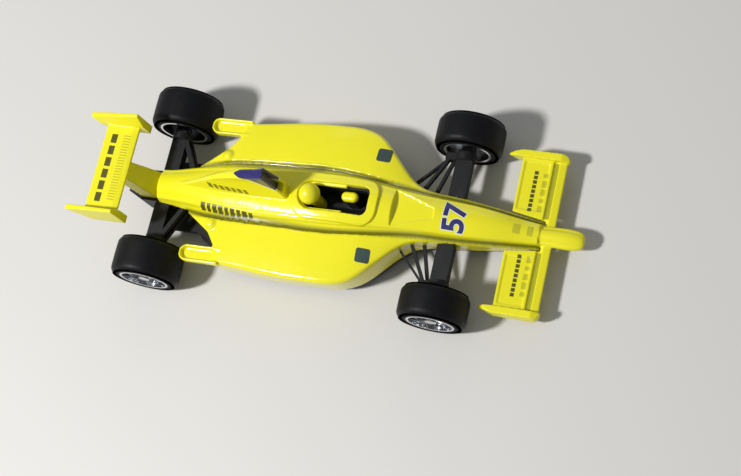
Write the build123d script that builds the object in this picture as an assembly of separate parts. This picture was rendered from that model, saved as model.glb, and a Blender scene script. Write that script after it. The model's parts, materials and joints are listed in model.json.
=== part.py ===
"""Toy open wheel racing car, die-cast, in millimetres.

The car is modelled with its rear axle at station zero, nose towards +X and its left
side towards +Y, standing on the plane z = 0. Every piece is then moved so that the
origin lies on the floor, midway between the nose tip and the rear wing.
"""
import os
from math import cos, radians, sin, sqrt

from build123d import *

# Whole toy
wheelbase = 47.0
nose_overhang = 19.1
tail_overhang = 11.2
fit_gap = 0.1
running_gap = 0.05
side_gap = 0.3

# Wheels, one row of sizes for each axle
rear_tyre_radius = 5.33
rear_tyre_inner = 9.4
rear_tyre_width = 5.8
front_tyre_radius = 5.1
front_tyre_inner = 10.7
front_tyre_width = 4.8
hub_recess = 0.8
tyre_wall = 1.5
tyre_shoulder = 0.9
tyre_shoulder_cuts = 3
rim_flange = 0.35
rim_web = 0.8
rim_dish = 0.9
rim_spoke_count = 6
rim_pocket = 0.4
rim_pocket_spread = 0.33
rim_pocket_round = 0.2
rim_rib = 0.15
hub_radius = 1.15
axle_radius = 0.5
axle_head_radius = 0.85
axle_head_length = 0.4

# Base plate and its rivets
ride_height = 1.3
base_thickness = 0.8
base_inset = 0.25
rivet_radius = 0.9
rivet_length = 0.6
diffuser_half_width = 5.6
diffuser_reach = 0.8

# Upper and lower castings
seam_gap = 0.3
seam_ledge = 0.45
cover_half_width = 4.85
cover_height = 10.4
pod_half_width = 12.4
pod_height = 8.9
tail_length = 0.5
nose_tip_length = 6.3
casting_rear = 5.0
fin_tip = 5.9
fin_root = 11.5
fin_inner = 9.1
fin_outer = 11.7
fin_thickness = 1.0
fin_top = 7.3
fin_lip = 0.35
fin_trough = 0.35
fin_root_overlap = 1.2
pod_sweep_front = 9.8
pod_sweep_half_width = 6.8
pod_sweep_rear_half_width = 3.8
exhaust_station = 10.3
exhaust_side = 5.5
exhaust_height = 7.4
exhaust_radius = 1.05

# Airbox behind the cockpit
airbox_front = 22.7
airbox_rear = 3.5
airbox_rake = 1.1
airbox_foot = 12.0
airbox_height = 18.5
airbox_half_width = 1.15
airbox_wall = 0.22
airbox_depth = 1.3
duct_thickness = 0.4

# Cockpit
cockpit_rear = 24.5
cockpit_front = 35.5
cockpit_half_width = 2.2
cockpit_floor = 5.0
cockpit_front_round = 1.1
rim_pad_width = 1.35
rim_pad_height = 0.45
tub_wall = 0.35
tub_top = 9.3
tub_floor = 0.8
cockpit_ledge_width = 0.4
cockpit_ledge_height = 0.5
cockpit_ledge_front = 31.6
helmet_station = 26.4
helmet_height = 10.7
helmet_radius = 1.6
neck_radius = 1.0
boss_station = 32.0
boss_side = 0.8
boss_length = 2.6
boss_width = 1.5
boss_round = 0.55
boss_seat = 8.5
boss_top = 9.3

# Cowl step and the sunk panel on the nose
cowl_station = 38.9
cowl_half_width = 2.8
panel_front = 45.0
panel_front_half_width = 0.8
panel_height_rear = 8.4
panel_height_front = 7.85

# Nose tip and front wing
nose_tip_half_width = 1.5
nose_tip_blunt_share = 0.35
nose_seam_half_width = 1.65
nose_seam_top = 4.6
nose_tip_top = 3.5
nose_tip_low = 1.9
nose_root_half_width = 3.0
front_wing_half_span = 11.3
front_wing_reach = 14.6
front_wing_chord = 6.4
front_wing_low = 2.4
front_wing_rise = 1.3
front_wing_thickness = 0.9
front_wing_recess = 0.15
front_wing_border = 0.45
front_flap_slot = 0.8
front_flap_depth = 0.3
front_flap_reach = 12.7
front_plate_reach = 14.9
front_plate_length = 8.9
front_plate_low = 1.6
front_plate_top = 4.6
front_plate_thickness = 1.1
front_plate_tip_thickness = 0.35
front_plate_toe = 0.6
front_plate_corner = 0.9

# Rear wing
rear_wing_half_span = 6.8
rear_wing_front = -3.4
rear_wing_rear = -8.7
rear_wing_low = 12.0
rear_wing_rise = 0.8
rear_wing_thickness = 0.9
rear_plate_thickness = 1.2
rear_plate_top_thickness = 0.5
rear_plate_front = -2.5
rear_plate_low_rear = -8.6
rear_plate_low = 10.6
rear_plate_top = 15.6
rear_plate_tip_height = 14.6
pylon_half_width = 2.1
pylon_top_half_width = 1.3
pylon_front = -0.8
pylon_rear = -3.6
pylon_top_front = -3.8
pylon_top_rear = -6.6

# Shape of a wing section: where its blunt front starts and ends, as shares of thickness
wing_front_low_share = 0.3
wing_front_high_share = 0.7

# Gearbox and suspension
gearbox_rear = -7.9
gearbox_half_width = 2.5
gearbox_tail_half_width = 0.6
gearbox_tail_height = 3.6
gearbox_ramp = -3.9
arm_thickness = 0.7
arm_width = 0.9
upright_radius = 1.5
upright_depth = 1.1
beam_half_length = 1.25
beam_half_height = 0.7
tie_half_height = 0.5
rear_tie_reach = 1.4
front_tie_reach = 3.0
rear_arm_spread = 4.0
front_arm_spread = 6.4
nose_flank_inner = 2.4

# Stations of the castings, as shares of the wheelbase up to the front axle, and above 1
# as shares of the way from the front axle to the nose seam
nose_seam = wheelbase + nose_overhang - nose_tip_length
rear_axle_x = tail_overhang - (tail_overhang + wheelbase + nose_overhang) / 2
base_top = ride_height + base_thickness
well_above = 2 * cover_height
gearbox_front = casting_rear - fit_gap
front_wing_front = wheelbase + front_wing_reach
front_wing_rear = front_wing_front - front_wing_chord
front_plate_front = wheelbase + front_plate_reach
front_plate_rear = front_plate_front - front_plate_length

# Columns: station, half width at the floor, half width at the shoulder, shoulder height,
# crown height, corner round; widths follow pod_half_width and heights pod_height
lower_shares = [
    (0.085, 0.93, 0.95, 0.66, 0.76, 0.05),
    (0.190, 0.91, 0.93, 0.76, 0.87, 0.05),
    (0.270, 0.90, 0.925, 0.82, 0.95, 0.05),
    (0.360, 0.93, 0.955, 0.84, 0.98, 0.06),
    (0.450, 0.95, 0.985, 0.86, 1.00, 0.06),
    (0.600, 0.95, 1.000, 0.87, 1.00, 0.06),
    (0.680, 0.92, 0.975, 0.86, 0.985, 0.06),
    (0.730, 0.84, 0.900, 0.85, 0.965, 0.06),
    (0.775, 0.70, 0.745, 0.83, 0.93, 0.055),
    (0.825, 0.50, 0.540, 0.80, 0.89, 0.05),
    (0.880, 0.345, 0.365, 0.765, 0.845, 0.045),
    (0.940, 0.290, 0.305, 0.73, 0.79, 0.04),
    (1.000, 0.275, 0.290, 0.69, 0.74, 0.04),
    (1.280, 0.250, 0.265, 0.62, 0.67, 0.035),
    (1.560, 0.215, 0.230, 0.53, 0.58, 0.03),
    (1.840, 0.175, 0.190, 0.43, 0.48, 0.025),
    (2.000, 0.160, 0.175, 0.38, 0.43, 0.025),
]

# Columns: station, half width at the seam, half width at the shoulder, seam height,
# shoulder height, crown height, corner round; widths follow cover_half_width and heights
# cover_height
upper_shares = [
    (-1.00, 0.55, 0.48, 0.63, 0.72, 0.79, 0.08),
    (0.100, 0.72, 0.60, 0.66, 0.80, 0.87, 0.15),
    (0.170, 0.84, 0.69, 0.72, 0.845, 0.91, 0.17),
    (0.240, 0.92, 0.75, 0.775, 0.87, 0.935, 0.18),
    (0.360, 0.965, 0.79, 0.825, 0.90, 0.965, 0.18),
    (0.460, 0.98, 0.81, 0.84, 0.93, 0.985, 0.18),
    (0.560, 1.00, 0.81, 0.845, 0.945, 1.00, 0.16),
    (0.660, 0.95, 0.78, 0.83, 0.935, 0.985, 0.14),
    (0.740, 0.87, 0.72, 0.80, 0.90, 0.955, 0.13),
    (0.820, 0.77, 0.64, 0.76, 0.84, 0.905, 0.12),
    (0.900, 0.69, 0.58, 0.71, 0.765, 0.83, 0.10),
    (1.000, 0.64, 0.54, 0.63, 0.68, 0.735, 0.09),
    (1.280, 0.58, 0.50, 0.57, 0.62, 0.67, 0.08),
    (1.560, 0.49, 0.42, 0.49, 0.54, 0.585, 0.07),
    (1.840, 0.40, 0.34, 0.40, 0.445, 0.485, 0.06),
    (2.000, 0.355, 0.30, 0.355, 0.40, 0.44, 0.05),
]

# The gearbox ends just below the tail of the upper casting
gearbox_height = upper_shares[0][3] * cover_height - seam_ledge - fit_gap

# The base plate follows the lower casting between these stations
base_first_share = 0.26
base_last_share = 1.9

airbox_low_share = 0.825
airbox_base_share = 0.85

# Columns: station of the foot and of the tip from the axle as shares of the arm spread,
# width as a share of arm_width, height from the axle as a share of upright_radius
front_arm_shares = [
    (-1.53, -0.39, 0.50, -0.60),
    (-0.97, -0.34, 0.55, -0.10),
    (-0.63, -0.27, 0.50, -0.60),
]
rear_arm_shares = [
    (1.00, 0.20, 1.0, -0.85),
    (1.00, 0.20, 0.9, -0.02),
]

# Columns: station from airbox rear to front, half width low, half width high, top height
airbox_shares = [
    (0.00, 0.40, 0.15, 0.00),
    (0.25, 0.66, 0.30, 0.28),
    (0.48, 0.88, 0.48, 0.60),
    (0.68, 0.95, 0.62, 0.79),
    (0.86, 1.00, 0.70, 0.89),
    (1.00, 1.00, 0.84, 1.00),
]

# Columns: station from the nose seam to the tip, fullness of the rounded end
nose_tip_shares = [
    (0.00, 1.00),
    (0.60, 1.00),
    (0.80, 0.95),
    (0.92, 0.80),
    (0.98, 0.60),
    (1.00, 0.40),
]


def station(share):
    """Place along the car of a share: tail, between the axles, or nose deck."""
    if share < 0:
        return share * tail_length
    if share <= 1:
        return share * wheelbase
    return wheelbase + (share - 1) * (nose_seam - wheelbase)


def section(along, half_low, low, half_high, shoulder, crown, corner):
    """Closed section across the car: floor, leaning sides, round corners, crown."""
    turn = corner * (1 - sqrt(0.5))
    side, edge = half_high, half_high - corner
    right = ThreePointArc(
        (along, side, shoulder - corner),
        (along, side - turn, shoulder - turn),
        (along, edge, shoulder),
    )
    left = ThreePointArc(
        (along, -edge, shoulder),
        (along, -side + turn, shoulder - turn),
        (along, -side, shoulder - corner),
    )
    return Wire([
        Line((along, -half_low, low), (along, half_low, low)),
        Line((along, half_low, low), (along, side, shoulder - corner)),
        right,
        ThreePointArc((along, edge, shoulder), (along, 0, crown), (along, -edge, shoulder)),
        left,
        Line((along, -side, shoulder - corner), (along, -half_low, low)),
    ])


def block(x_span, y_span, z_span):
    """Box from three spans, each a pair of low and high places."""
    (x0, x1), (y0, y1), (z0, z1) = x_span, y_span, z_span
    middle = ((x0 + x1) / 2, (y0 + y1) / 2, (z0 + z1) / 2)
    return Pos(*middle) * Box(x1 - x0, y1 - y0, z1 - z0)


def prism(points, low, high):
    """Upright prism over a plan outline."""
    face = make_face(Polyline(*points, close=True))
    return Pos(0, 0, low) * extrude(face, amount=high - low)


def side_prism(points, inner, outer):
    """Prism across the car over an outline of station and height."""
    face = make_face(Polyline(*[(x, inner, z) for x, z in points], close=True))
    return extrude(face, amount=outer - inner, dir=(0, 1, 0))


def rod_across(along, height, radius, start, end):
    """Round bar parallel to the axles."""
    return Pos(along, (start + end) / 2, height) * Rot(90, 0, 0) * Cylinder(radius, end - start)


def both_sides(piece):
    """A piece and its mirror image."""
    return piece + mirror(piece, Plane.XZ)


def cover_loft(sink, gap, lift):
    """Loft of the upper casting, from sink below the seam, grown by gap and lift."""
    rings = []
    for share, seam_half, half, seam, shoulder, crown, corner in upper_shares:
        rings.append(section(
            station(share),
            seam_half * cover_half_width + gap,
            seam * cover_height - sink,
            half * cover_half_width + gap,
            shoulder * cover_height + lift,
            crown * cover_height + lift,
            corner * cover_half_width,
        ))
    return Solid.make_loft(rings)


def cockpit_outline(grow):
    """Plan of the cockpit mouth: round behind the helmet, square ahead."""
    half = cockpit_half_width + grow
    rear, front = cockpit_rear - grow, cockpit_front + grow
    body = Pos((rear + half + front) / 2, 0) * Rectangle(front - rear - half, 2 * half)
    corners = body.vertices().group_by(Axis.X)[-1]
    body = fillet(corners, cockpit_front_round + grow)
    return body + Pos(rear + half, 0) * Circle(half)


def cockpit_prism(grow, low, high):
    """Upright prism of the cockpit mouth."""
    return Pos(0, 0, low) * extrude(cockpit_outline(grow), amount=high - low)


def mouth_station(height):
    """Place along the car of the intake's raked mouth at a height."""
    slope = airbox_rake / (airbox_height - airbox_foot)
    return airbox_front - slope * (height - airbox_foot)


def raked_slab(back, front):
    """Slab across the car between two distances behind the intake's raked mouth."""
    return side_prism([
        (mouth_station(0) - back, 0),
        (mouth_station(0) - front, 0),
        (mouth_station(well_above) - front, well_above),
        (mouth_station(well_above) - back, well_above),
    ], -cover_half_width, cover_half_width)


def airbox():
    """Tall intake behind the cockpit, fading into the engine cover's spine."""
    low = cover_height * airbox_low_share
    rings = []
    for share, half_low, half_high, rise in airbox_shares:
        along = airbox_rear + share * (airbox_front - airbox_rear)
        base = cover_height * airbox_base_share
        top = base + rise * (airbox_height - base)
        half = half_high * airbox_half_width
        rings.append(section(
            along, half_low * airbox_half_width, low, half, top - half / 4, top, half / 2))
    return Solid.make_loft(rings) & raked_slab(airbox_front, 0)


def mouth_hollow(inset, back, front):
    """Inside of the intake's mouth between two depths, drawn in from its walls."""
    wall = airbox_wall + inset
    half_low = airbox_half_width - wall
    half_high = airbox_shares[-1][2] * airbox_half_width - wall
    low, top = airbox_foot + inset, airbox_height - wall
    rings = []
    for along in (mouth_station(airbox_height) - 2 * airbox_depth, airbox_front + airbox_depth):
        rings.append(section(
            along, half_low, low, half_high, top - half_high / 4, top, half_high / 2))
    return Solid.make_loft(rings) & raked_slab(back, front)


def nose_panel():
    """Cutter of the sunk panel ahead of the cowl, narrowing between two ridges."""
    low = min(panel_height_rear, panel_height_front)
    plan = [
        (cowl_station, -cowl_half_width),
        (panel_front, -panel_front_half_width),
        (panel_front, panel_front_half_width),
        (cowl_station, cowl_half_width),
    ]
    slope = side_prism([
        (cowl_station, panel_height_rear),
        (panel_front, panel_height_front),
        (panel_front, cover_height),
        (cowl_station, cover_height),
    ], -cover_half_width, cover_half_width)
    return prism(plan, low, cover_height) & slope


def cockpit_ledge():
    """Narrow step inside the cockpit's walls, behind the steering boss."""
    low = tub_top + fit_gap
    step = cockpit_prism(0, low, low + cockpit_ledge_height)
    step -= cockpit_prism(-cockpit_ledge_width, 0, well_above)
    behind = block((0, cockpit_ledge_front), (-pod_half_width, pod_half_width), (0, well_above))
    return step & behind


def axle_room(along, height):
    """Bore that clears an axle rod across the whole car."""
    return rod_across(along, height, axle_radius + fit_gap, -pod_half_width, pod_half_width)


def upper_body():
    """Nose deck, cowl, cockpit surround, engine cover and airbox in one casting."""
    pad = cockpit_prism(rim_pad_width, cockpit_floor, well_above)
    body = cover_loft(seam_ledge, 0, 0)
    body += cover_loft(seam_ledge, 0, rim_pad_height) & pad
    body += airbox()
    body -= cockpit_prism(0, 0, well_above)
    body += cockpit_ledge()
    body -= mouth_hollow(0, airbox_depth, -airbox_depth)
    body -= nose_panel()
    body -= axle_room(0, rear_tyre_radius)
    return body - axle_room(wheelbase, front_tyre_radius)


def lower_loft(gap):
    """Loft of the nose flanks and sidepods, grown sideways by a gap."""
    rings = []
    for share, half_floor, half, shoulder, crown, corner in lower_shares:
        rings.append(section(
            station(share),
            half_floor * pod_half_width + gap,
            base_top,
            half * pod_half_width + gap,
            shoulder * pod_height,
            crown * pod_height,
            corner * pod_half_width,
        ))
    return Solid.make_loft(rings)


def fin_outline(inset):
    """Plan of the blade: straight sides and a round rear end."""
    half = (fin_outer - fin_inner) / 2 - inset
    middle = (fin_outer + fin_inner) / 2
    rear = fin_tip + inset + half
    front = fin_root + fin_root_overlap
    strip = Pos((rear + front) / 2, middle) * Rectangle(front - rear, 2 * half)
    return strip + Pos(rear, middle) * Circle(half)


def fin():
    """Blade behind the left sidepod, with a raised lip and a shallow trough."""
    low, high = fin_top - fin_thickness, fin_top + fin_lip
    blade = Pos(0, 0, low) * extrude(fin_outline(0), amount=high - low)
    floor = fin_top - fin_trough
    return blade - Pos(0, 0, floor) * extrude(fin_outline(fin_lip), amount=high)


def exhaust():
    """Round end of the exhaust beside the engine cover."""
    return Pos(exhaust_station, exhaust_side, exhaust_height) * Sphere(exhaust_radius)


def lower_body():
    """Nose flanks and sidepods, with a pocket for the upper casting."""
    outside = 2 * pod_half_width
    rear = [
        (casting_rear, 0),
        (casting_rear, pod_sweep_rear_half_width),
        (pod_sweep_front, pod_sweep_half_width),
        (fin_root, fin_inner),
        (fin_root, outside),
        (-wheelbase, outside),
        (-wheelbase, 0),
    ]
    body = lower_loft(0) - both_sides(prism(rear, 0, well_above))
    body += both_sides(fin())
    body += both_sides(exhaust())
    body -= cover_loft(seam_ledge + fit_gap, seam_gap, cover_height)
    body -= cockpit_prism(0, cockpit_floor, cover_height)
    return body - axle_room(wheelbase, front_tyre_radius)


def base_outline(inset):
    """Plan of the base plate: a table follows the castings' floor."""
    left = [(station(share), half * pod_half_width - inset)
            for share, half, *rest in lower_shares if base_first_share < share < base_last_share]
    rear = [(-diffuser_reach, diffuser_half_width), (casting_rear, diffuser_half_width)]
    points = rear + left
    return points + [(x, -y) for x, y in reversed(points)]


def base_plate():
    """Flat floor of the toy, with a seat for each rivet."""
    plate = prism(base_outline(base_inset), ride_height, base_top)
    for along in rivet_stations():
        plate -= Pos(along, 0, ride_height) * Cylinder(rivet_radius + fit_gap, 2 * rivet_length)
    return plate


def rivet_stations():
    """Places of the rivets: ahead of the gearbox and behind the front axle."""
    return (casting_rear + 4 * rivet_radius, wheelbase - 6 * rivet_radius)


def rivet(along):
    """Flush rivet head."""
    return Pos(along, 0, ride_height + rivet_length / 2) * Cylinder(rivet_radius, rivet_length)


def tyre(radius, width, inner):
    """Slick tyre with rounded shoulders cut in steps, revolved about its axle."""
    bore, outer = radius - tyre_wall, inner + width
    steps = []
    for cut in range(tyre_shoulder_cuts + 1):
        turn = radians(90 * cut / tyre_shoulder_cuts)
        steps.append((tyre_shoulder * (1 - cos(turn)), tyre_shoulder * (1 - sin(turn))))
    shoulder = [(radius - drop, inner + side) for side, drop in steps]
    far = [(radius - drop, outer - side) for side, drop in reversed(steps)]
    profile = make_face(Polyline((bore, inner), *shoulder, *far, (bore, outer), close=True))
    return profile_turned(profile, radius)


def profile_turned(profile, height):
    """Revolve a profile of radius and width about an axle at a height."""
    turned = revolve(profile, axis=Axis.Y)
    return Pos(0, 0, height) * turned


def rim(radius, width, inner):
    """Bright rim: barrel with lips, dished web of spokes and a bored hub."""
    bore = radius - tyre_wall - running_gap
    outer = inner + width
    barrel = Pos(bore - rim_flange / 2, inner + width / 2) * Rectangle(rim_flange, width)
    web_face = outer - rim_dish
    web = Pos(bore / 2, web_face - rim_web / 2) * Rectangle(bore, rim_web)
    hub_width = width - hub_recess
    hub = Pos(hub_radius / 2, inner + hub_width / 2) * Rectangle(hub_radius, hub_width)
    turned = profile_turned(barrel + web + hub, 0)
    near, far = hub_radius + rim_rib, bore - rim_flange - rim_rib
    window = make_face(Polyline(
        (near, -near * rim_pocket_spread),
        (far, -far * rim_pocket_spread),
        (far, far * rim_pocket_spread),
        (near, near * rim_pocket_spread),
        close=True,
    ))
    window = fillet(window.vertices(), rim_pocket_round)
    for spoke in range(rim_spoke_count):
        angle = 360 * (spoke + 0.5) / rim_spoke_count
        cutter = extrude(Plane.XZ * Rot(0, 0, angle) * window, amount=rim_pocket + fit_gap)
        turned -= Pos(0, web_face + fit_gap, 0) * cutter
    turned -= rod_across(0, 0, axle_radius + running_gap, inner - width, outer + width)
    return Pos(0, 0, radius) * turned


def axle(height, outer, along):
    """Steel rod with a swaged head outside each hub."""
    end = outer - hub_recess + side_gap / 2
    bar = rod_across(along, height, axle_radius, -end, end)
    for side in (-1, 1):
        place = side * (end + axle_head_length / 2)
        half = axle_head_length / 2
        bar += rod_across(along, height, axle_head_radius, place - half, place + half)
    return bar


def arm(foot, tip, width, low):
    """Flat arm from a foot near the centre line out to its tip, each a plan point."""
    (x0, y0), (x1, y1), half = foot, tip, width / 2
    plan = [(x0 - half, y0), (x0 + half, y0), (x1 + half, y1), (x1 - half, y1)]
    return prism(plan, low, low + arm_thickness)


def suspension(along, height, root, tyre_inner, spread, arm_rows, tie):
    """Left arms and upright, with the beam that the axle rod runs through."""
    face = tyre_inner - side_gap
    inner = face - upright_depth
    piece = rod_across(along, height, upright_radius, inner, face)
    piece += block(
        (along - beam_half_length, along + beam_half_length),
        (root, face),
        (height - beam_half_height, height + beam_half_height),
    )
    piece += block(
        (min(along, along + tie), max(along, along + tie)),
        (inner, face),
        (height - tie_half_height - arm_thickness / 2, height + tie_half_height),
    )
    for foot, tip, width, lift in arm_rows:
        piece += arm(
            (along + foot * spread, root),
            (along + tip * spread, inner + upright_depth / 2),
            width * arm_width,
            height + lift * upright_radius,
        )
    return piece - rod_across(along, height, axle_radius + running_gap, 0, 2 * tyre_inner)


def gearbox():
    """Gearbox block with its low tail, bored for the rear axle."""
    profile = [
        (gearbox_front, base_top),
        (gearbox_front, gearbox_height),
        (gearbox_ramp, gearbox_height),
        (gearbox_rear, gearbox_tail_height),
        (gearbox_rear, base_top),
    ]
    plan = [
        (gearbox_front, gearbox_half_width),
        (gearbox_ramp, gearbox_half_width),
        (gearbox_rear, gearbox_tail_half_width),
        (gearbox_rear, -gearbox_tail_half_width),
        (gearbox_ramp, -gearbox_half_width),
        (gearbox_front, -gearbox_half_width),
    ]
    body = side_prism(profile, -gearbox_half_width, gearbox_half_width)
    body &= prism(plan, 0, well_above)
    bore = axle_radius + running_gap
    return body - rod_across(0, rear_tyre_radius, bore, -pod_half_width, pod_half_width)


def wing_profile(front, rear, low, rise, thickness):
    """Simple wing section: blunt front, thin raised rear edge."""
    return [
        (front, low + thickness * wing_front_low_share),
        (front - thickness / 2, low),
        (rear, low + rise),
        (rear, low + rise + thickness / 2),
        (front - thickness, low + thickness),
        (front, low + thickness * wing_front_high_share),
    ]


def nose_tip():
    """Blunt rounded tip of the nose, ahead of the castings."""
    tip = wheelbase + nose_overhang
    start = nose_seam + fit_gap
    rings = []
    for share, full in nose_tip_shares:
        half = nose_seam_half_width + (nose_tip_half_width - nose_seam_half_width) * share
        top = nose_seam_top + (nose_tip_top - nose_seam_top) * share
        middle, reach = (top + nose_tip_low) / 2, (top - nose_tip_low) / 2
        half, reach = half * full, reach * full
        rings.append(section(
            start + share * (tip - start),
            half - reach / 4,
            middle - reach,
            half,
            middle + reach / 2,
            middle + reach,
            half * nose_tip_blunt_share,
        ))
    return Solid.make_loft(rings)


def front_plane():
    """Left half of the front wing, with its sunk top and the slot of its flap."""
    end = front_wing_half_span + front_plate_thickness / 2
    plane = side_prism(
        wing_profile(front_wing_front, front_wing_rear, front_wing_low, front_wing_rise,
                     front_wing_thickness),
        0, end)
    flap = wheelbase + front_flap_reach
    crest = front_wing_front - front_wing_thickness
    rear_top = front_wing_low + front_wing_rise + front_wing_thickness / 2
    slope = (rear_top - front_wing_low - front_wing_thickness) / (front_wing_rear - crest)
    back, fore = front_wing_rear + front_wing_border, flap - front_wing_border
    recess_low = [(x, rear_top + slope * (x - front_wing_rear) - front_wing_recess)
                  for x in (back, fore)]
    recess = side_prism(
        recess_low + [(fore, well_above), (back, well_above)],
        nose_root_half_width + front_wing_border, front_wing_half_span - front_wing_border)
    groove_low = [(x, rear_top + slope * (x - front_wing_rear) - front_flap_depth)
                  for x in (flap, flap + front_flap_slot)]
    recess += side_prism(
        groove_low + [(flap + front_flap_slot, well_above), (flap, well_above)],
        0, front_wing_half_span)
    room = [
        (front_wing_rear - fit_gap, -fit_gap),
        (nose_seam + 3 * fit_gap, -fit_gap),
        (nose_seam + 3 * fit_gap, lower_shares[-1][2] * pod_half_width + fit_gap),
        (front_wing_rear - fit_gap, nose_root_half_width),
    ]
    return plane - recess - prism(room, 0, well_above)


def front_plate():
    """Left end plate of the front wing, thin and turned in at its rear tip."""
    outer = front_wing_half_span + front_plate_thickness
    cut = front_plate_thickness
    plate = side_prism([
        (front_plate_front, front_plate_low + cut),
        (front_plate_front - cut, front_plate_low),
        (front_plate_rear + cut, front_plate_low + cut),
        (front_plate_rear, front_plate_top - cut / 2),
        (front_plate_rear + cut, front_plate_top),
        (front_plate_front - cut, front_plate_top - cut / 2),
        (front_plate_front, front_plate_top - cut),
    ], front_wing_half_span, outer)
    tip = outer - front_plate_toe
    taper = make_face(Polyline(
        (front_plate_rear, tip - front_plate_tip_thickness),
        (front_wing_rear, front_wing_half_span),
        (front_plate_front, front_wing_half_span),
        (front_plate_front, outer),
        (front_wing_rear, outer),
        (front_plate_rear, tip),
        close=True,
    ))
    corner = taper.vertices().sort_by(lambda v: v.X + v.Y)[-1]
    return plate & extrude(fillet(corner, front_plate_corner), amount=well_above)


def front_wing():
    """Nose tip with the front wing and its end plates, one moulding."""
    return nose_tip() + both_sides(front_plane()) + both_sides(front_plate())


def slanted_pylon():
    """Pylon that leans back from the gearbox and narrows up to the rear wing."""
    rows = [
        (gearbox_height, pylon_front, pylon_rear, pylon_half_width),
        (rear_wing_low + rear_wing_rise, pylon_top_front, pylon_top_rear, pylon_top_half_width),
    ]
    rings = []
    for height, front, rear, half in rows:
        rings.append(Wire([*Polyline(
            (front, half, height), (rear, half, height),
            (rear, -half, height), (front, -half, height), close=True).edges()]))
    return Solid.make_loft(rings, ruled=True)


def rear_plate():
    """Left end plate of the rear wing, drawn thinner towards its top."""
    inner, outer = rear_wing_half_span, rear_wing_half_span + rear_plate_thickness
    plate = side_prism([
        (rear_plate_front, rear_plate_low),
        (rear_plate_low_rear, rear_plate_low),
        (-tail_overhang, rear_plate_tip_height),
        (rear_plate_low_rear, (rear_plate_top + rear_plate_tip_height) / 2),
        (rear_plate_front, rear_plate_top),
    ], inner, outer)
    ahead, behind = rear_plate_front + tail_overhang, -2 * tail_overhang
    face = make_face(Polyline(
        (behind, inner, rear_plate_low),
        (behind, outer, rear_plate_low),
        (behind, outer, rear_plate_top),
        (behind, outer - rear_plate_top_thickness, rear_plate_top),
        (behind, inner, rear_wing_low + rear_wing_rise + rear_wing_thickness / 2),
        close=True,
    ))
    return plate & extrude(face, amount=ahead - behind, dir=(1, 0, 0))


def rear_wing():
    """Rear wing plane with end plates and the pylon that stands on the gearbox."""
    plane = side_prism(
        wing_profile(rear_wing_front, rear_wing_rear, rear_wing_low, rear_wing_rise,
                     rear_wing_thickness),
        -rear_wing_half_span, rear_wing_half_span)
    return plane + both_sides(rear_plate()) + slanted_pylon()


def airbox_duct():
    """Black insert on the back wall of the intake's mouth."""
    return mouth_hollow(fit_gap, airbox_depth, airbox_depth - duct_thickness)


def cockpit_tub():
    """Black tub that lines the cockpit."""
    outer = cockpit_prism(-fit_gap, cockpit_floor, tub_top)
    tub = outer - cockpit_prism(-fit_gap - tub_wall, cockpit_floor + tub_floor, tub_top)
    return tub + boss_slab(cockpit_floor, boss_seat)


def boss_slab(low, high):
    """Upright slab with round ends, where the steering boss stands."""
    return Pos(boss_station, boss_side, low) * extrude(
        SlotOverall(boss_length, boss_width), amount=high - low)


def driver_helmet():
    """Plain dome on a neck that stands on the tub's floor."""
    floor = cockpit_floor + tub_floor
    dome = Pos(helmet_station, 0, helmet_height) * Sphere(helmet_radius)
    height = helmet_height - floor
    return dome + Pos(helmet_station, 0, floor + height / 2) * Cylinder(neck_radius, height)


def steering_boss():
    """Long round-topped boss ahead of the driver, seated on the tub's pedestal."""
    boss = boss_slab(boss_seat, boss_top)
    return fillet(boss.edges().group_by(Axis.Z)[-1], boss_round)


def fixed_nodes():
    """Every piece that stays on the chassis, by name."""
    rear_outer = rear_tyre_inner + rear_tyre_width
    front_outer = front_tyre_inner + front_tyre_width
    rear_left = suspension(0, rear_tyre_radius, gearbox_half_width + fit_gap,
                           rear_tyre_inner, rear_arm_spread, rear_arm_shares, rear_tie_reach)
    front_left = suspension(wheelbase, front_tyre_radius, nose_flank_inner,
                            front_tyre_inner, front_arm_spread, front_arm_shares,
                            -front_tie_reach)
    front_left -= lower_loft(fit_gap)
    front, rear = rivet_stations()[1], rivet_stations()[0]
    return {
        "upper_body": upper_body(),
        "lower_body": lower_body(),
        "front_wing": front_wing(),
        "rear_wing": rear_wing(),
        "airbox_duct": airbox_duct(),
        "cockpit_tub": cockpit_tub(),
        "driver_helmet": driver_helmet(),
        "steering_boss": steering_boss(),
        "base_plate": base_plate(),
        "front_rivet": rivet(front),
        "rear_rivet": rivet(rear),
        "gearbox": gearbox(),
        "front_suspension_left": front_left,
        "front_suspension_right": mirror(front_left, Plane.XZ),
        "rear_suspension_left": rear_left,
        "rear_suspension_right": mirror(rear_left, Plane.XZ),
        "rear_axle": axle(rear_tyre_radius, rear_outer, 0),
        "front_axle": axle(front_tyre_radius, front_outer, wheelbase),
    }


def wheel_nodes():
    """Tyre and rim of each wheel, by name."""
    nodes = {}
    rows = [
        ("rear", 0, rear_tyre_radius, rear_tyre_width, rear_tyre_inner),
        ("front", wheelbase, front_tyre_radius, front_tyre_width, front_tyre_inner),
    ]
    for name, along, radius, width, inner in rows:
        pair = {"tyre": tyre(radius, width, inner), "rim": rim(radius, width, inner)}
        for kind, piece in pair.items():
            left = Pos(along, 0, 0) * piece
            nodes[f"{kind}_{name}_left"] = left
            nodes[f"{kind}_{name}_right"] = mirror(left, Plane.XZ)
    return nodes


def export_all():
    """Write each piece to its own file, moved to the toy's origin."""
    os.makedirs("parts", exist_ok=True)
    nodes = {**fixed_nodes(), **wheel_nodes()}
    for name, piece in nodes.items():
        export_step(Pos(rear_axle_x, 0, 0) * piece, os.path.join("parts", name + ".step"))


export_all()
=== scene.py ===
"""Toy open wheel racing car: softened castings, tyres, prints and finishes on the model."""
import json
import math

import bmesh
import bpy
from mathutils import Matrix, Quaternion, Vector
from mathutils.bvhtree import BVHTree


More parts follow.
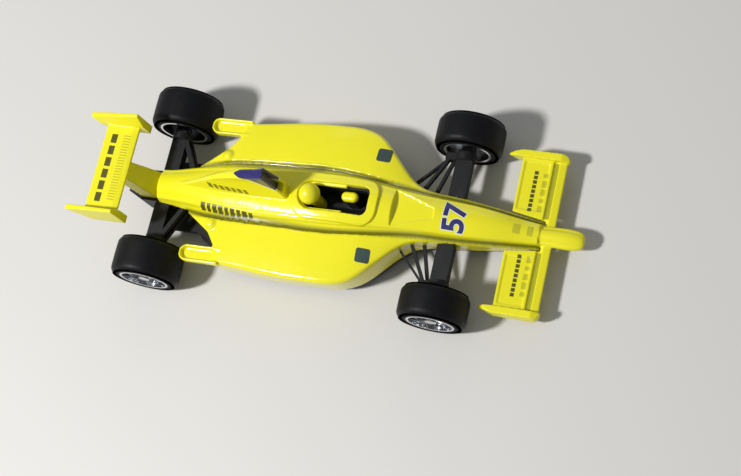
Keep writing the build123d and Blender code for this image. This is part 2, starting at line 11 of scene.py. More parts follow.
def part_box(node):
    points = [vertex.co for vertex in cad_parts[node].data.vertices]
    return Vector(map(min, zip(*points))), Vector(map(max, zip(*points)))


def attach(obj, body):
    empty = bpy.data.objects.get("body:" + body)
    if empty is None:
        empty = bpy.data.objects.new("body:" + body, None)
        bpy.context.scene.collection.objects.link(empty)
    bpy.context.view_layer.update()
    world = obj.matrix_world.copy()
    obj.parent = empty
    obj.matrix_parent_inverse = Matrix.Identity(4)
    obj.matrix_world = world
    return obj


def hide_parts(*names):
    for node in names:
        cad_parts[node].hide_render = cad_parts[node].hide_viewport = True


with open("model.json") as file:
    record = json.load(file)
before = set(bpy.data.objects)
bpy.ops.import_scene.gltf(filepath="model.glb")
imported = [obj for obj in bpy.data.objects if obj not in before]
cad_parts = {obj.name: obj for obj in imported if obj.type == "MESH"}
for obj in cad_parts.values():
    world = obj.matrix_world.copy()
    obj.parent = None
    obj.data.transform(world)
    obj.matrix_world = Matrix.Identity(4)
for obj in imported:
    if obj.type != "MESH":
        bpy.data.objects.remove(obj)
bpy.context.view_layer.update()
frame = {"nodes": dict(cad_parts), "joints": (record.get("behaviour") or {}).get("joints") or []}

MM = 0.001

# Photograph's camera, in the car's frame
CAMERA_PLACE = Vector((88.1, -59.5, 197.1)) * MM
CAMERA_AIM = Vector((5.52, -2.47, 0.0)) * MM
CAMERA_ROLL = math.radians(45.18)
CAMERA_LENS = 71.3

# Paint, plastic and metal colours, linear
YELLOW = (0.84, 0.77, 0.014, 1)
YELLOW_THIN = (0.70, 0.66, 0.010, 1)
NAVY = (0.020, 0.018, 0.13, 1)
TEAL = (0.035, 0.062, 0.052, 1)
PALE = (0.72, 0.74, 0.66, 1)
OLIVE = (0.085, 0.078, 0.007, 1)
FAINT = (0.54, 0.50, 0.014, 1)
STRIPE = (0.40, 0.39, 0.012, 1)
SEAM_OLIVE = (0.10, 0.10, 0.005, 1)
BLACK = (0.008, 0.008, 0.009, 1)
BLACK_DUST = (0.024, 0.023, 0.021, 1)
TYRE_DUST = (0.010, 0.009, 0.009, 1)
TYRE_BLACK = (0.003, 0.003, 0.004, 1)
CHROME_TINT = (0.62, 0.63, 0.65, 1)
STEEL_TINT = (0.62, 0.61, 0.60, 1)

# Floor, world and lamps: place and size in metres, power in watts, aimed at the car's middle
FLOOR_HALF = 3.0
FLOOR_TINT = (0.62, 0.60, 0.57, 1)
WORLD_TINT = (0.9, 0.95, 1.0, 1)
WORLD_STRENGTH = 0.30
LAMPS = {
    "key": ((-0.20, -0.155, 0.35), 0.045, 1.85),
    "fill": ((-0.10, 0.60, 0.35), 0.45, 0.35),
}

# Smallest distances that joining and cutting tell apart
WELD = 0.001 * MM
HAIR = 1e-8

# Stand-ins: size of the grid they are remeshed on, rounds of smoothing, triangles kept
UPPER_CAST = (0.10 * MM, 4, 0.64)
LOWER_CAST = (0.17 * MM, 5, 1.0)
WING_CAST = (0.10 * MM, 4, 1.0)

# Prints: height over the paint, least upward lean of a face that takes one, cell they are cut to
PRINT_LIFT = 0.03 * MM
PRINT_STEEPEST = 0.6
PRINT_CELL = 0.18 * MM

# Places along the car are counted from the rear axle
REAR_AXLE_X = next(j["pos_m"][0] for j in frame["joints"] if j["name"] == "rear_left_roll")

# Tyres: CAD wall, bead round, shoulder round, crown of the tread, share of the half width,
# squared, past which a point of the profile is at a corner, and how finely they are divided
TYRE_WALL = 1.5 * MM
TYRE_BEAD = 0.12 * MM
TYRE_SHOULDER = 0.95 * MM
TYRE_CROWN = 0.06 * MM
TYRE_CORNER = 0.99
TYRE_STEPS = 144
TREAD_CUTS = 3
SHOULDER_STEPS = 12

# Race number on the nose: its middle in plan, its height, how far the ink and the pale edge
# under it stand out from plain strokes, and a capital's share of its text size
NUMBER = "57"
NUMBER_PLACE = (47.9, -0.1)
NUMBER_HEIGHT = 3.0
NUMBER_BOLD = 0.13
NUMBER_EDGE = 0.26
CAPITAL_SHARE = 0.70

# Square marks on the sidepods: their middles in plan, their size and corner
POD_MARKS = {"pod_mark_left": (35.4, 8.1), "pod_mark_right": (35.6, -7.5)}
POD_MARK_SIZE = 2.1
POD_MARK_CORNER = 0.35
POD_MARK_STEPS = 5

# Intake's mouth at its rear and at its rim: place along and half width at its foot, then the
# height of its top and the half width there
INTAKE_RINGS = [(20.9, 1.01, 17.40, 0.78), (22.7, 1.06, 18.06, 0.85)]
INTAKE_FOOT = 12.0
INTAKE_SHOULDER = 0.34
INTAKE_WALL = 0.38
INTAKE_RAKE = 1.1 / 6.5
INTAKE_LINING_TOP = 17.2
INTAKE_LINING_FADE = (12.2, 14.2)

# Rows of plain bars: how many millimetres off they start, points along a bar's sides, seed
PRINT_FROM = 25
BAR_POINTS = 7
PRINT_SEED = 4

# Gap between the castings, in millimetres: where the paint starts to dull, where it is dull,
# and how dull
SEAM_FAR = 0.75
SEAM_NEAR = 0.22
SEAM_DEPTH = 0.85

# Intake's blue: everything above a level or above a falling line, drawn twice with a pale edge
WRAP_FRONT = 24.0
WRAP_TOP = 16.45
WRAP_FALL = ((19.0, 16.6), (22.4, 13.6))
WRAP_EDGE = 0.28


class Value:
    """A number socket of a tree, used in plain sums."""

    def __init__(self, nodes, socket):
        self.nodes, self.socket = nodes, socket

    def _sum(self, operation, first, second):
        node = self.nodes.node("ShaderNodeMath", {"operation": operation}, {0: first, 1: second})
        return Value(self.nodes, node.outputs[0])

    def __add__(self, other):
        return self._sum("ADD", self, other)

    def __sub__(self, other):
        return self._sum("SUBTRACT", self, other)

    def __rsub__(self, other):
        return self._sum("SUBTRACT", other, self)

    def __mul__(self, other):
        return self._sum("MULTIPLY", self, other)

    def __truediv__(self, other):
        return self._sum("DIVIDE", self, other)

    __radd__ = __add__
    __rmul__ = __mul__

    def above(self, level):
        """One where the number is greater than the level, else nought."""
        return self._sum("GREATER_THAN", self, level)


class Nodes:
    """A node tree and the one way to add to it."""

    def __init__(self, tree):
        self.tree = tree

    def node(self, kind, settings=None, sockets=None):
        """Any node: its settings first, then the values or links of its sockets."""
        node = self.tree.nodes.new(kind)
        for name, value in (settings or {}).items():
            setattr(node, name, value)
        for key, value in (sockets or {}).items():
            value = getattr(value, "socket", value)
            if isinstance(value, bpy.types.NodeSocket):
                self.tree.links.new(value, node.inputs[key])
            else:
                node.inputs[key].default_value = value
        return node

    def parts(self, vector):
        """The three numbers of a vector."""
        node = self.node("ShaderNodeSeparateXYZ", None, {0: vector})
        return [Value(self, socket) for socket in node.outputs]


class Shader(Nodes):
    """One material, built node by node on the object's own coordinates."""

    def __init__(self, name):
        self.material = bpy.data.materials.new(name)
        self.material.use_nodes = True
        super().__init__(self.material.node_tree)
        self.surface = self.tree.nodes["Principled BSDF"]
        self.place = self.node("ShaderNodeTexCoord").outputs["Object"]

    def noise(self, size, detail=3.0):
        """Noise whose lumps are about the given size in metres."""
        node = self.node("ShaderNodeTexNoise", None, {
            "Vector": self.place, "Scale": 1 / size, "Detail": detail})
        return Value(self, node.outputs["Fac"])

    def ramp(self, factor, low, high):
        """Stretch a value from low..high to 0..1."""
        node = self.node("ShaderNodeMapRange", {"clamp": True}, {
            "Value": factor, "From Min": low, "From Max": high})
        return Value(self, node.outputs["Result"])

    def measure(self, name):
        """A number kept on the mesh's points."""
        node = self.node("ShaderNodeAttribute", {"attribute_name": name})
        return Value(self, node.outputs["Fac"])

    def mix(self, factor, first, second):
        """Blend two colours."""
        node = self.node("ShaderNodeMix", {"data_type": "RGBA"}, {
            "Factor": factor, 6: first, 7: second})
        return node.outputs[2]

    def bump(self, height, depth):
        """Small relief, its full depth in metres."""
        node = self.node("ShaderNodeBump", None, {"Height": height, "Distance": depth})
        return node.outputs["Normal"]

    def finish(self, **sockets):
        """Set the surface's sockets, named with underscores for blanks."""
        for name, value in sockets.items():
            socket = self.surface.inputs[name.replace("_", " ")]
            value = getattr(value, "socket", value)
            if isinstance(value, bpy.types.NodeSocket):
                self.tree.links.new(value, socket)
            else:
                socket.default_value = value
        return self.material


class Shape(Nodes):
    """A Geometry Nodes tree that makes a mesh from named inputs."""

    def __init__(self, name, kinds):
        super().__init__(bpy.data.node_groups.new(name, "GeometryNodeTree"))
        self.keys = {}
        for label, kind in kinds.items():
            socket = self.tree.interface.new_socket(
                label, in_out="INPUT", socket_type="NodeSocket" + kind)
            self.keys[label] = socket.identifier
        self.tree.interface.new_socket("Mesh", in_out="OUTPUT", socket_type="NodeSocketGeometry")
        self.given = self.node("NodeGroupInput").outputs

    def number(self, label):
        """A number input, ready for sums."""
        return Value(self, self.given[label])

    def close(self, geometry):
        """Add the last nodes: smooth faces, real instances and the finish."""
        soft = self.node("GeometryNodeSetShadeSmooth", None, {"Geometry": geometry})
        real = self.node("GeometryNodeRealizeInstances", None, {0: soft.outputs[0]})
        done = self.node("GeometryNodeSetMaterial", None, {
            "Geometry": real.outputs[0], "Material": self.given["Finish"]})
        self.node("NodeGroupOutput", None, {"Mesh": done.outputs[0]})

    def made(self, name, values):
        """Plain mesh object from the tree, its inputs set before it is first evaluated."""
        obj = add_object(name, bpy.data.meshes.new(name))
        run = obj.modifiers.new("shape", "NODES")
        run.node_group = self.tree
        for label, value in values.items():
            run[self.keys[label]] = value
        return baked(obj)


def enamel(name, wrapped=False):
    """Glossy lemon enamel on cast zinc, dull in the seams; wrapped, with the blue intake."""
    s = Shader(name)
    thin = s.ramp(s.noise(9 * MM), 0.45, 0.75) * 0.25
    specks = s.ramp(s.noise(0.5 * MM, 2.0), 0.66, 0.74) * 0.5
    flow = s.noise(1.6 * MM, 2.0) + 0.25 * s.noise(0.35 * MM, 2.0)
    colour = s.mix(thin, YELLOW, YELLOW_THIN)
    blue = 0
    if wrapped:
        along, _, up = s.parts(s.place)
        behind_mouth = 1 - along.above(REAR_AXLE_X + WRAP_FRONT * MM)
        (rear, high), (front, low) = WRAP_FALL
        slope = (low - high) / (front - rear)
        line = (along - (REAR_AXLE_X + rear * MM)) * slope + high * MM
        for drop, ink in ((WRAP_EDGE, PALE), (0, NAVY)):
            inside = up.above(WRAP_TOP * MM) + (up - line).above(-drop * MM)
            blue = inside.above(0.5) * behind_mouth
            colour = s.mix(blue, colour, ink)
    seam = s.ramp(s.measure("seam"), SEAM_FAR, SEAM_NEAR) * SEAM_DEPTH
    return s.finish(
        Base_Color=s.mix(seam, colour, SEAM_OLIVE),
        Roughness=0.13 + 0.08 * specks + 0.04 * s.noise(2.5 * MM) + 0.3 * seam + 0.1 * blue,
        Coat_Weight=0.30,
        Coat_Roughness=0.04,
        Normal=s.bump(flow, 0.018 * MM),
    )


def yellow_plastic():
    """Moulded lemon plastic of the wings and helmet."""
    s = Shader("lemon_plastic")
    clouds = s.ramp(s.noise(6 * MM), 0.4, 0.8) * 0.2
    return s.finish(
        Base_Color=s.mix(clouds, YELLOW, YELLOW_THIN),
        Roughness=0.27 + 0.12 * s.noise(1.5 * MM),
        Normal=s.bump(s.noise(0.7 * MM, 3.0), 0.020 * MM),
    )


def black_plastic():
    """Satin black plastic of the base, arms and tub."""
    s = Shader("black_plastic")
    dust = s.ramp(s.noise(3 * MM, 5.0), 0.5, 0.85) * 0.5
    return s.finish(
        Base_Color=s.mix(dust, BLACK, BLACK_DUST),
        Specular_IOR_Level=0.35,
        Roughness=0.42 + 0.16 * s.noise(1.2 * MM),
        Normal=s.bump(s.noise(0.25 * MM, 3.0), 0.02 * MM),
    )


def lining_enamel():
    """Dark lining of the intake, blue like its rim towards the top."""
    s = Shader("intake_lining")
    _, _, up = s.parts(s.place)
    low, high = INTAKE_LINING_FADE
    height = s.ramp(up + 0.4 * MM * s.noise(0.6 * MM), low * MM, high * MM)
    return s.finish(
        Base_Color=s.mix(height, BLACK, NAVY),
        Roughness=0.22 + 0.15 * s.noise(0.5 * MM),
        Coat_Weight=0.3,
        Coat_Roughness=0.05,
        Normal=s.bump(s.noise(0.4 * MM, 3.0), 0.02 * MM),
    )


def tyre_plastic():
    """Smooth black slick, scuffed and dusty on the tread."""
    s = Shader("slick_tyre")
    scuff = s.ramp(s.noise(1.1 * MM, 6.0), 0.52, 0.8) * 0.6
    return s.finish(
        Base_Color=s.mix(scuff, TYRE_BLACK, TYRE_DUST),
        Roughness=0.40 + 0.22 * s.noise(0.8 * MM, 4.0),
        Specular_IOR_Level=0.2,
        Normal=s.bump(s.noise(0.3 * MM, 4.0), 0.02 * MM),
    )


def bright_metal(name, colour, rough):
    """Plated or plain bright metal with fine handling marks."""
    s = Shader(name)
    return s.finish(
        Base_Color=colour,
        Metallic=1.0,
        Roughness=rough + 0.10 * s.ramp(s.noise(0.8 * MM, 4.0), 0.45, 0.8),
        Normal=s.bump(s.noise(0.9 * MM, 2.0), 0.008 * MM),
    )


def print_ink(name, colour):
    """Printed ink, slightly uneven over the enamel."""
    s = Shader(name)
    patch = s.ramp(s.noise(0.35 * MM, 3.0), 0.5, 0.9) * 0.35
    lighter = tuple(min(1, 1.6 * c + 0.01) for c in colour[:3]) + (1,)
    return s.finish(
        Base_Color=s.mix(patch, colour, lighter),
        Roughness=0.30 + 0.10 * s.noise(0.6 * MM),
        Coat_Weight=0.3,
    )


def dress(obj, material):
    """Give a mesh one material."""
    obj.data.materials.clear()
    obj.data.materials.append(material)
    return obj


def add_object(name, data):
    """New object at the origin, in the scene."""
    obj = bpy.data.objects.new(name, data)
    bpy.context.scene.collection.objects.link(obj)
    return obj


def baked(obj):
    """Apply the object's modifiers to its mesh."""
    depsgraph = bpy.context.evaluated_depsgraph_get()
    mesh = bpy.data.meshes.new_from_object(obj.evaluated_get(depsgraph))
    obj.modifiers.clear()
    obj.data = mesh
    return obj


def smooth(obj):
    """Smooth shading on every face."""
    obj.data.polygons.foreach_set("use_smooth", [True] * len(obj.data.polygons))
    obj.data.update()
    return obj


def at(along, side, up=0.0):
    """Point from millimetres ahead of the rear axle, left of the middle and above the floor."""
    return Vector((REAR_AXLE_X + along * MM, side * MM, up * MM))


def all_of(mesh):
    """Every point, edge and face of a mesh."""
    return mesh.verts[:] + mesh.edges[:] + mesh.faces[:]


def plain_copy(node, suffix, added=()):
    """Copy of a node with its triangles joined up, and closed shapes added to it."""
    obj = frame["nodes"][node].copy()
    obj.data = obj.data.copy()
    obj.name = node + suffix
    obj.parent = None
    for key in [k for k in obj.keys() if k.startswith("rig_")]:
        del obj[key]
    bpy.context.scene.collection.objects.link(obj)
    mesh = bmesh.new()
    mesh.from_mesh(obj.data)
    bmesh.ops.remove_doubles(mesh, verts=mesh.verts, dist=WELD)
    for rings in added:
        rows = [[mesh.verts.new(point) for point in ring] for ring in rings]
        faces = [mesh.faces.new(row) for row in rows]
        for i in range(len(rows[0])):
            j = (i + 1) % len(rows[0])
            faces.append(mesh.faces.new((rows[0][i], rows[0][j], rows[1][j], rows[1][i])))
        bmesh.ops.recalc_face_normals(mesh, faces=faces)
    mesh.to_mesh(obj.data)
    mesh.free()
    return obj


def stand_in(node, material, cast, added=()):
    """Copy in a node's place, its sharp edges softened as casting and paint leave them."""
    cell, rounds, keep = cast
    obj = plain_copy(node, "_cast", added)
    remesh = obj.modifiers.new("grid", "REMESH")
    remesh.mode = "VOXEL"
    remesh.voxel_size = cell
    relax = obj.modifiers.new("relax", "SMOOTH")
    relax.factor = 0.5
    relax.iterations = rounds
    if keep < 1:
        thin = obj.modifiers.new("thin", "DECIMATE")
        thin.ratio = keep
    dress(smooth(baked(obj)), material)
    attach(obj, "chassis")
    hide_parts(node)
    return obj


def intake_walls():
    """Closed shapes that roof the intake's mouth and thicken its side walls, each as two rings."""
    shapes = {"roof": [], 1: [], -1: []}
    for along, foot_half, high, half in INTAKE_RINGS:
        low, shoulder = high - INTAKE_WALL, high - INTAKE_SHOULDER
        foot_inner, inner = foot_half - INTAKE_WALL, half - INTAKE_WALL
        rings = {"roof": [(-half, low), (half, low), (half, shoulder), (half / 2, high),
                          (-half / 2, high), (-half, shoulder)]}
        for side in (1, -1):
            rings[side] = [(side * foot_inner, INTAKE_FOOT), (side * foot_half, INTAKE_FOOT),
                           (side * half, shoulder), (side * inner, shoulder)]
        for key, ring in rings.items():
            shapes[key].append(
                [at(along - INTAKE_RAKE * (up - INTAKE_FOOT), y, up) for y, up in ring])
    return list(shapes.values())


def intake_lining():
    """Copy of the black insert, cut off under the intake's roof."""
    obj = plain_copy("airbox_duct", "_lining")
    mesh = bmesh.new()
    mesh.from_mesh(obj.data)
    cut = bmesh.ops.bisect_plane(
        mesh, geom=all_of(mesh), dist=HAIR, plane_co=at(0, 0, INTAKE_LINING_TOP),
        plane_no=(0, 0, 1), clear_outer=True)
    rim = [edge for edge in cut["geom_cut"] if isinstance(edge, bmesh.types.BMEdge)]
    bmesh.ops.holes_fill(mesh, edges=rim)
    bmesh.ops.recalc_face_normals(mesh, faces=mesh.faces)
    mesh.to_mesh(obj.data)
    mesh.free()
    dress(obj, LINING)
    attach(obj, "chassis")
    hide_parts("airbox_duct")


def surface_of(*objects):
    """Search tree over the meshes of the objects."""
    verts, faces = [], []
    for obj in objects:
        start = len(verts)
        verts.extend(v.co.copy() for v in obj.data.vertices)
        faces.extend([start + i for i in p.vertices] for p in obj.data.polygons)
    return BVHTree.FromPolygons(verts, faces)


def cut_to_grid(mesh, cell):
    """Cut a flat mesh along grid lines, so that it can follow a curved surface."""
    for axis, normal in enumerate((Vector((1, 0, 0)), Vector((0, 1, 0)))):
        places = [v.co[axis] for v in mesh.verts]
        line = min(places) + cell
        while line < max(places):
            bmesh.ops.bisect_plane(
                mesh, geom=all_of(mesh), dist=HAIR, plane_co=normal * line, plane_no=normal)
            line += cell


def lay_down(name, mesh, surface, material, lift=PRINT_LIFT):
    """Finish a flat print: cut it fine, drop it on the castings and let it ride the car."""
    cut_to_grid(mesh, PRINT_CELL)
    missed = []
    for vert in mesh.verts:
        above = Vector((vert.co.x, vert.co.y, 1))
        place, normal, _, _ = surface.ray_cast(above, Vector((0, 0, -1)))
        if place is None or normal.z < PRINT_STEEPEST:
            missed.append(vert)
        else:
            vert.co = place + normal * lift
    bmesh.ops.delete(mesh, geom=missed, context="VERTS")
    data = bpy.data.meshes.new(name)
    mesh.to_mesh(data)
    mesh.free()
    obj = smooth(dress(add_object(name, data), material))
    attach(obj, "chassis")


def pod_mark(centre):
    """Flat mesh of a square mark with rounded corners, its middle given in plan."""
    points = []
    for quarter in range(4):
        middle = Vector((1, 1)) * (POD_MARK_SIZE / 2 - POD_MARK_CORNER)
        for step in range(POD_MARK_STEPS + 1):
            angle = math.pi / 2 * step / POD_MARK_STEPS
            arc = middle + POD_MARK_CORNER * Vector((math.cos(angle), math.sin(angle)))
            turned = Matrix.Rotation(quarter * math.pi / 2, 2) @ arc
            points.append(at(*(Vector(centre) + turned)))
    mesh = bmesh.new()
    mesh.faces.new([mesh.verts.new(point) for point in points])
    bmesh.ops.recalc_face_normals(mesh, faces=mesh.faces)
    return mesh


def race_number(fatten):
    """Flat mesh of the race number, its top towards the rear of the car."""
    curve = bpy.data.curves.new("number", "FONT")
    curve.body = NUMBER
    curve.size = NUMBER_HEIGHT / CAPITAL_SHARE
    curve.offset = fatten
    curve.align_x = "CENTER"
    holder = add_object("number", curve)
    depsgraph = bpy.context.evaluated_depsgraph_get()
    flat = bpy.data.meshes.new_from_object(holder.evaluated_get(depsgraph))
    bpy.data.objects.remove(holder)
    mesh = bmesh.new()
    mesh.from_mesh(flat)
    bpy.data.meshes.remove(flat)
    along, side = NUMBER_PLACE
    for vert in mesh.verts:
        vert.co = at(along + NUMBER_HEIGHT / 2 - vert.co.y, side + vert.co.x)
    bmesh.ops.recalc_face_normals(mesh, faces=mesh.faces)
    return mesh


def mark_seam(obj, other):
    """Keep each point's distance from the other casting, in millimetres, for the enamel."""
    surface = surface_of(other)
    layer = obj.data.attributes.new("seam", "FLOAT", "POINT")
    for vert, row in zip(obj.data.vertices, layer.data):
        near = surface.find_nearest(vert.co, SEAM_FAR * MM)
        row.value = SEAM_FAR if near[0] is None else near[3] / MM


def print_row_shape():
    """Tree of a row of plain bars of uneven length, laid on another object from outside it."""
    t = Shape("print_row", {
        "Surface": "Object", "Start": "Vector", "Step": "Vector", "Turn": "Vector",
        "Towards": "Vector", "Bars": "Int", "Length": "Float", "Width": "Float",
        "Shortest": "Vector", "Seed": "Int", "Lift": "Vector", "Finish": "Material"})
    places = t.node("GeometryNodeMeshLine", {"mode": "OFFSET"}, {
        "Count": t.given["Bars"], "Start Location": t.given["Start"], "Offset": t.given["Step"]})
    bar = t.node("GeometryNodeMeshGrid", None, {
        "Size X": t.given["Length"], "Size Y": t.given["Width"],
        "Vertices X": BAR_POINTS, "Vertices Y": BAR_POINTS})
    sizes = t.node("FunctionNodeRandomValue", {"data_type": "FLOAT_VECTOR"}, {
        "Min": t.given["Shortest"], "Max": (1, 1, 1), "Seed": t.given["Seed"]})
    row = t.node("GeometryNodeInstanceOnPoints", None, {
        "Points": places.outputs[0], "Instance": bar.outputs["Mesh"],
        "Rotation": t.given["Turn"], "Scale": sizes.outputs[0]})
    loose = t.node("GeometryNodeRealizeInstances", None, {0: row.outputs[0]})
    target = t.node("GeometryNodeObjectInfo", {"transform_space": "RELATIVE"}, {
        "Object": t.given["Surface"]})
    place = t.node("GeometryNodeInputPosition")
    drop = t.node("GeometryNodeRaycast", None, {
        "Target Geometry": target.outputs["Geometry"], "Source Position": place.outputs[0],
        "Ray Direction": t.given["Towards"], "Ray Length": 1.0})
    missed = t.node("FunctionNodeBooleanMath", {"operation": "NOT"}, {0: drop.outputs["Is Hit"]})
    kept = t.node("GeometryNodeDeleteGeometry", None, {
        "Geometry": loose.outputs[0], "Selection": missed.outputs[0]})
    lifted = t.node("ShaderNodeVectorMath", {"operation": "MULTIPLY_ADD"}, {
        0: drop.outputs["Hit Normal"], 1: t.given["Lift"], 2: drop.outputs["Hit Position"]})
    laid = t.node("GeometryNodeSetPosition", None, {
        "Geometry": kept.outputs[0], "Position": lifted.outputs[0]})
    t.close(laid.outputs[0])
    return t


def print_row(name, start, end, count, width, target, finish, fill, shortest=1.0,
              side=0):
    """Row of bars between two places, laid from above or from a side.

    Fill is a full bar's share of its room, and shortest the least share of a full bar.
    """
    run = at(*end) - at(*start)
    towards = Vector((0, -side, 0 if side else -1))
    turn = (-side * math.pi / 2, -math.atan2(run.z, run.x), 0) if side else (
        0, 0, math.atan2(run.y, run.x))
    obj = PRINT_ROW.made(name, {
        "Surface": target,
        "Start": at(*start) + run / (2 * count) - towards * PRINT_FROM * MM,
        "Step": run / count,
        "Turn": turn,
        "Towards": towards,
        "Bars": count,
        "Length": fill * run.length / count,
        "Width": width * MM,
        "Shortest": (shortest, 1, 1),
        "Seed": PRINT_SEED,
        "Lift": (PRINT_LIFT,) * 3,
        "Finish": finish,
    })
    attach(obj, "chassis")


def slick_shape():
    """Tree of a slick tyre: a rounded profile, fuller in the middle, led round its axle."""
    t = Shape("slick_tyre", {
        "Radius": "Float", "Bore": "Float", "Width": "Float", "Shoulder": "Float",
        "Bead": "Float", "Crown": "Float", "Centre": "Vector", "Steps": "Int",
        "Finish": "Material"})
    radius, bore, width = t.number("Radius"), t.number("Bore"), t.number("Width")
    shoulder, bead = t.number("Shoulder"), t.number("Bead")
    wall = t.node("GeometryNodeCurvePrimitiveQuadrilateral", {"mode": "RECTANGLE"}, {
        "Width": radius - bore, "Height": width})
    outward, sideways, _ = t.parts(t.node("GeometryNodeInputPosition").outputs[0])
    outer = outward.above(0)
    off_middle = (sideways * sideways) / (width * width * 0.25)
    split = t.node("GeometryNodeSubdivideCurve", None, {0: wall.outputs[0], "Cuts": TREAD_CUTS})
    rounds = t.node("GeometryNodeFilletCurve", {"mode": "POLY"}, {
        "Curve": split.outputs[0], "Count": SHOULDER_STEPS,
        "Radius": (outer * (shoulder - bead) + bead) * off_middle.above(TYRE_CORNER)})
    drop = outer * t.number("Crown") * off_middle
    sunk = t.node("ShaderNodeCombineXYZ", None, {0: 0 - drop})
    profile = t.node("GeometryNodeSetPosition", None, {
        "Geometry": rounds.outputs[0], "Offset": sunk.outputs[0]})
    circle = t.node("GeometryNodeCurvePrimitiveCircle", {"mode": "RADIUS"}, {
        "Resolution": t.given["Steps"], "Radius": (radius + bore) * 0.5})
    ring = t.node("GeometryNodeCurveToMesh", None, {
        "Curve": circle.outputs[0], "Profile Curve": profile.outputs[0]})
    turned = t.node("GeometryNodeTransform", None, {
        "Geometry": ring.outputs[0], "Translation": t.given["Centre"],
        "Rotation": (math.pi / 2, 0, 0)})
    t.close(turned.outputs[0])
    return t


def slick(node, body):
    """Round-shouldered tyre in a CAD tyre's place."""
    low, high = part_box(node)
    radius = (high.x - low.x) / 2
    obj = SLICK_SHAPE.made(node + "_slick", {
        "Radius": radius,
        "Bore": radius - TYRE_WALL,
        "Width": high.y - low.y,
        "Shoulder": TYRE_SHOULDER,
        "Bead": TYRE_BEAD,
        "Crown": TYRE_CROWN,
        "Centre": (low + high) / 2,
        "Steps": TYRE_STEPS,
        "Finish": SLICK,
    })
    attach(obj, body)
    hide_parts(node)


def make_camera():
    """Camera at the photograph's place."""
    data = bpy.data.cameras.new("camera")
    data.lens = CAMERA_LENS
    data.clip_start = 5 * MM
    camera = add_object("camera", data)
    look = (CAMERA_AIM - CAMERA_PLACE).normalized()
    turn = look.to_track_quat("-Z", "Y")
    camera.rotation_mode = "QUATERNION"
    camera.rotation_quaternion = Quaternion(look, CAMERA_ROLL) @ turn
    camera.location = CAMERA_PLACE
    bpy.context.scene.camera = camera


def make_floor():
    """Plain pale floor."""
    mesh = bpy.data.meshes.new("floor")
    half = FLOOR_HALF
    corners = [(-half, -half, 0), (half, -half, 0), (half, half, 0), (-half, half, 0)]
    mesh.from_pydata(corners, [], [(0, 1, 2, 3)])
    paint = Shader("pale_floor").finish(Base_Color=FLOOR_TINT, Roughness=0.55)
    dress(add_object("floor", mesh), paint)


def make_lights():
    """Soft lamps from the rear right and from the left, and a pale world."""
    for name, (place, size, power) in LAMPS.items():
        data = bpy.data.lights.new(name, "AREA")
        data.size = size
        data.energy = power
        lamp = add_object(name, data)
        lamp.location = place
        lamp.rotation_euler = (-Vector(place)).to_track_quat("-Z", "Y").to_euler()
    world = bpy.data.worlds.new("studio")
    world.use_nodes = True
    sky = world.node_tree.nodes["Background"].inputs
    sky["Color"].default_value = WORLD_TINT
    sky["Strength"].default_value = WORLD_STRENGTH
    bpy.context.scene.world = world


ENAMEL = enamel("lemon_enamel")
COVER_ENAMEL = enamel("lemon_enamel_wrapped", wrapped=True)
LEMON = yellow_plastic()
SATIN = black_plastic()
LINING = lining_enamel()
SLICK = tyre_plastic()
CHROME = bright_metal("chrome_plate", CHROME_TINT, 0.12)
STEEL = bright_metal("steel_wire", STEEL_TINT, 0.22)
NAVY_INK = print_ink("navy_ink", NAVY)
TEAL_INK = print_ink("teal_ink", TEAL)
PALE_INK = print_ink("pale_ink", PALE)
OLIVE_INK = print_ink("olive_ink", OLIVE)
FAINT_INK = print_ink("faint_ink", FAINT)
STRIPE_INK = print_ink("stripe_ink", STRIPE)
PRINT_ROW = print_row_shape()
SLICK_SHAPE = slick_shape()

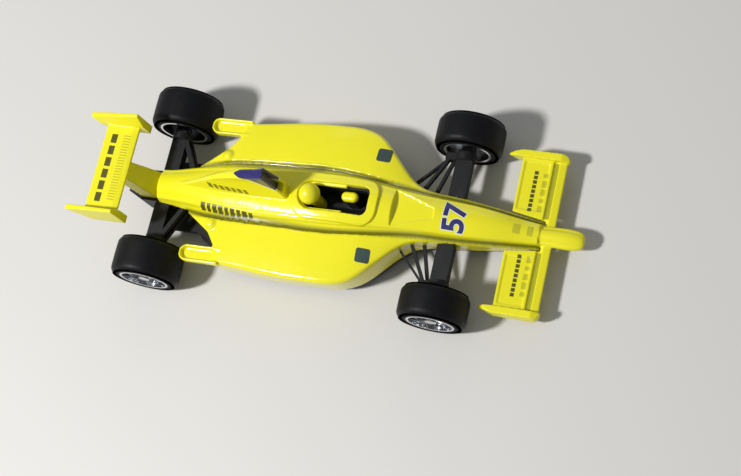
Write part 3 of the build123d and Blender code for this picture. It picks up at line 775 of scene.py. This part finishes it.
upper = stand_in("upper_body", COVER_ENAMEL, UPPER_CAST, intake_walls())
lower = stand_in("lower_body", ENAMEL, LOWER_CAST)
mark_seam(upper, lower)
mark_seam(lower, upper)
front = stand_in("front_wing", LEMON, WING_CAST)
rear = stand_in("rear_wing", LEMON, WING_CAST)
for node in ("driver_helmet", "steering_boss"):
    dress(frame["nodes"][node], LEMON)
for node in ("base_plate", "gearbox", "cockpit_tub", "front_suspension_left",
             "front_suspension_right", "rear_suspension_left", "rear_suspension_right"):
    dress(frame["nodes"][node], SATIN)
intake_lining()
for node in ("front_axle", "rear_axle", "front_rivet", "rear_rivet"):
    dress(frame["nodes"][node], STEEL)
for node, obj in frame["nodes"].items():
    if node.startswith("tyre"):
        slick(node, node.replace("tyre", "wheel"))
    if node.startswith("rim"):
        dress(obj, CHROME)

castings, cover = surface_of(upper, lower), surface_of(upper)
lay_down("number_edge", race_number(NUMBER_EDGE), cover, PALE_INK, PRINT_LIFT / 2)
lay_down("number", race_number(NUMBER_BOLD), cover, NAVY_INK)
for name, place in POD_MARKS.items():
    lay_down(name, pod_mark(place), castings, TEAL_INK)

# Rows of plain bars: start and end, how many, how wide
print_row("cover_bars", (8.0, -3.05), (17.4, -4.1), 9, 1.0, upper, OLIVE_INK, 0.8, 0.7)
for side in (1, -1):
    print_row(f"fin_bars_{side}", (9.9, 0, 11.4), (16.8, 0, 10.95), 7, 1.5, upper, OLIVE_INK,
              0.75, 0.7, side)
    print_row(f"front_wing_bars_{side}", (57.5, side * 3.2), (57.5, side * 9.6), 9, 0.55, front,
              OLIVE_INK, 0.75)
    print_row(f"front_wing_faint_{side}", (58.9, side * 3.2), (58.9, side * 9.6), 5, 0.7, front,
              FAINT_INK, 0.85, 0.5)
    print_row(f"front_wing_stripe_{side}", (60.1, side * 2.6), (60.1, side * 11.1), 8, 0.7, front,
              STRIPE_INK, 1.0)
print_row("rear_wing_bars", (-7.0, 5.5), (-7.0, -6.0), 6, 0.95, rear,
          OLIVE_INK, 0.75)
print_row("rear_wing_line", (-4.9, 5.4), (-4.9, -5.4), 24, 1.1, rear,
          FAINT_INK, 0.4)
for along, wide in ((56.7, 1.0), (58.6, 0.8)):
    print_row(f"nose_mark_{along:.0f}", (along, 0.7), (along, -0.7), 1, wide, upper, FAINT_INK,
              1.0)

make_camera()
make_floor()
make_lights()
bpy.context.scene.view_settings.view_transform = "Standard"
